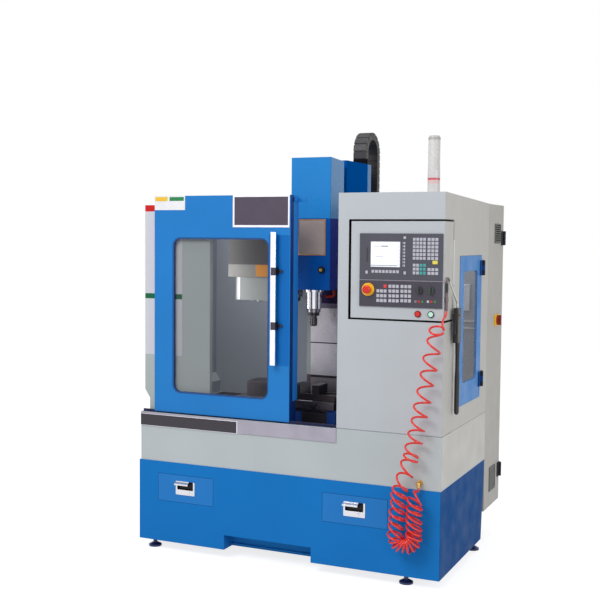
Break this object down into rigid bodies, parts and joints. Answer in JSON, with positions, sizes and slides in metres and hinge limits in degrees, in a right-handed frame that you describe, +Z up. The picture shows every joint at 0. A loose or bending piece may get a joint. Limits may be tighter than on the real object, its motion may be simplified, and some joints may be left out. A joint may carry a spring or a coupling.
{
  "type": "cnc machining center",
  "caption": "Enclosed vertical machining centre with sliding front door, operator console, tool magazine, drawers and coiled air line.",
  "frame": {"origin": "on the floor, under the centre of the machine's bounding box without the air hose", "axes": "+X to the operator's right along the front, +Y towards the machine's back, +Z up"},
  "size_m": [1.69, 1.255, 2.235],
  "materials": {
    "stand_paint": "semi-gloss paint",
    "enclosure_paint": "fine textured paint",
    "door_paint": "semi-gloss paint",
    "head_paint": "semi-gloss paint",
    "head_cover_paint": "semi-gloss paint",
    "machine_gray_casting": "painted casting",
    "galvanised_foot": "zinc plated",
    "trim_steel": "brushed",
    "console_paint": "fine textured paint",
    "panel_black": "matte foil",
    "screen_glass": "lit display",
    "safety_red": "gloss",
    "key_green": "gloss",
    "knob_gray": "matte",
    "knob_white": "matte",
    "tower_white": "gloss",
    "tower_lens": "translucent",
    "clear_glass": "clear",
    "black_rubber": "matte",
    "polished_chrome": "polished",
    "ground_steel": "ground",
    "blackened_steel": "black oxide",
    "tool_steel": "turned",
    "drive_plastic": "matte",
    "switch_black": "gloss",
    "carousel_aluminium": "milled",
    "cover_gray": "satin paint",
    "chain_plastic": "matte",
    "fitting_brass": "turned",
    "hose_red": "glossy polyurethane",
    "gun_black": "matte"
  },
  "bodies": {
    "frame": {"stand_housing": "stand_paint", "levelling_feet": "galvanised_foot", "splash_pan": "enclosure_paint", "front_trim_strip": "trim_steel", "left_front_panel": "enclosure_paint", "left_side_wall": "enclosure_paint", "right_side_wall": "enclosure_paint", "operator_cabinet": "enclosure_paint", "console_box": "console_paint", "display_unit": "panel_black", "display_screen": "screen_glass", "machine_panel": "panel_black", "signal_tower_body": "tower_white", "signal_tower_lens": "tower_lens", "electrical_cabinet": "enclosure_paint", "electrical_equipment": "drive_plastic", "machine_bed": "machine_gray_casting", "guide_rails": "ground_steel", "column": "machine_gray_casting", "column_rear_cover": "cover_gray", "magazine_cover": "cover_gray", "cable_chain": "chain_plastic", "air_fitting": "fitting_brass", "hose_start": "hose_red", "hose_slack_coil": "hose_red", "hose_stretched_coil": "hose_red", "hose_end": "hose_red", "air_gun": "gun_black"},
    "drawer_left_body": {"drawer_left": "stand_paint", "drawer_pull_left": "polished_chrome"},
    "drawer_right_body": {"drawer_right": "stand_paint", "drawer_pull_right": "polished_chrome"},
    "front_door_body": {"front_door": "door_paint", "door_glass": "clear_glass", "door_gasket": "black_rubber", "door_grip": "polished_chrome", "door_grip_clamps": "polished_chrome"},
    "side_door_body": {"side_door": "door_paint", "side_door_glass": "clear_glass"},
    "electrical_door_body": {"electrical_door": "enclosure_paint"},
    "main_switch_body": {"main_switch_handle": "switch_black"},
    "saddle_body": {"saddle": "machine_gray_casting"},
    "table_body": {"work_table": "ground_steel", "vise_body": "blackened_steel"},
    "vise_jaw_body": {"vise_jaw": "blackened_steel"},
    "head_body": {"head_casting": "head_paint", "head_cover": "head_cover_paint", "spindle_cartridge": "ground_steel", "way_cover_upper": "trim_steel"},
    "way_cover_body": {"way_cover_middle": "trim_steel"},
    "spindle_body": {"spindle": "blackened_steel", "tool_holder": "tool_steel"},
    "carousel_body": {"tool_carousel": "carousel_aluminium", "stored_tools": "tool_steel"},
    "estop_body": {"estop_button": "safety_red"},
    "stop_button_body": {"stop_button": "safety_red"},
    "start_button_body": {"start_button": "key_green"},
    "feed_override_body": {"feed_override_knob": "knob_gray"},
    "spindle_override_body": {"spindle_override_knob": "knob_white"},
    "air_gun_lever_body": {"air_gun_lever": "gun_black"}
  },
  "joints": [
    {"name": "drawer_left_slide", "type": "slide", "parent": "frame", "child": "drawer_left_body", "axis": [0, -1, 0], "range_m": [0, 0.3]},
    {"name": "drawer_right_slide", "type": "slide", "parent": "frame", "child": "drawer_right_body", "axis": [0, -1, 0], "range_m": [0, 0.3]},
    {"name": "front_door_slide", "type": "slide", "parent": "frame", "child": "front_door_body", "axis": [1, 0, 0], "range_m": [-0.072, 0.259]},
    {"name": "side_door_hinge", "type": "hinge", "parent": "frame", "child": "side_door_body", "pos_m": [0.81, 0.123, 1.195], "axis": [0, 0, 1], "range_deg": [0, 110]},
    {"name": "electrical_door_hinge", "type": "hinge", "parent": "frame", "child": "electrical_door_body", "pos_m": [0.808, 0.57785, 1.009], "axis": [0, 0, -1], "range_deg": [0, 110]},
    {"name": "main_switch_turn", "type": "hinge", "parent": "frame", "child": "main_switch_body", "pos_m": [0.805, 0.4675, 1.204], "axis": [1, 0, 0], "range_deg": [0, 90]},
    {"name": "y_axis_slide", "type": "slide", "parent": "frame", "child": "saddle_body", "axis": [0, 1, 0], "range_m": [-0.08, 0.05]},
    {"name": "x_axis_slide", "type": "slide", "parent": "saddle_body", "child": "table_body", "axis": [1, 0, 0], "range_m": [-0.1, 0.2]},
    {"name": "vise_jaw_slide", "type": "slide", "parent": "table_body", "child": "vise_jaw_body", "axis": [1, 0, 0], "range_m": [-0.055, 0.06]},
    {"name": "z_axis_slide", "type": "slide", "parent": "frame", "child": "head_body", "axis": [0, 0, 1], "range_m": [-0.27, 0]},
    {"name": "way_cover_slide", "type": "slide", "parent": "frame", "child": "way_cover_body", "axis": [0, 0, 1], "range_m": [-0.135, 0]},
    {"name": "spindle_turn", "type": "hinge", "parent": "head_body", "child": "spindle_body", "pos_m": [0.005, -0.219, 1.262], "axis": [0, 0, -1], "continuous": true},
    {"name": "carousel_turn", "type": "hinge", "parent": "frame", "child": "carousel_body", "pos_m": [-0.263, -0.124, 1.354], "axis": [0, 0, 1], "continuous": true},
    {"name": "estop_press", "type": "slide", "parent": "frame", "child": "estop_body", "axis": [0, 1, 0], "range_m": [0, 0.006], "stiffness_N_per_m": 900},
    {"name": "stop_press", "type": "slide", "parent": "frame", "child": "stop_button_body", "axis": [0, 1, 0], "range_m": [0, 0.003], "stiffness_N_per_m": 500},
    {"name": "start_press", "type": "slide", "parent": "frame", "child": "start_button_body", "axis": [0, 1, 0], "range_m": [0, 0.003], "stiffness_N_per_m": 500},
    {"name": "feed_override_turn", "type": "hinge", "parent": "frame", "child": "feed_override_body", "pos_m": [0.682, -0.56, 1.4055], "axis": [0, 1, 0], "range_deg": [-135, 135]},
    {"name": "spindle_override_turn", "type": "hinge", "parent": "frame", "child": "spindle_override_body", "pos_m": [0.738, -0.56, 1.4055], "axis": [0, 1, 0], "range_deg": [-135, 135]},
    {"name": "air_gun_lever_press", "type": "hinge", "parent": "frame", "child": "air_gun_lever_body", "pos_m": [0.823, -0.4413, 1.314], "axis": [1, 0, 0], "range_deg": [0, 6], "stiffness_Nm_per_rad": 1.5}
  ],
  "couplings": [
    {"joint": "way_cover_slide", "follows": "z_axis_slide", "ratio": 0.5}
  ]
}
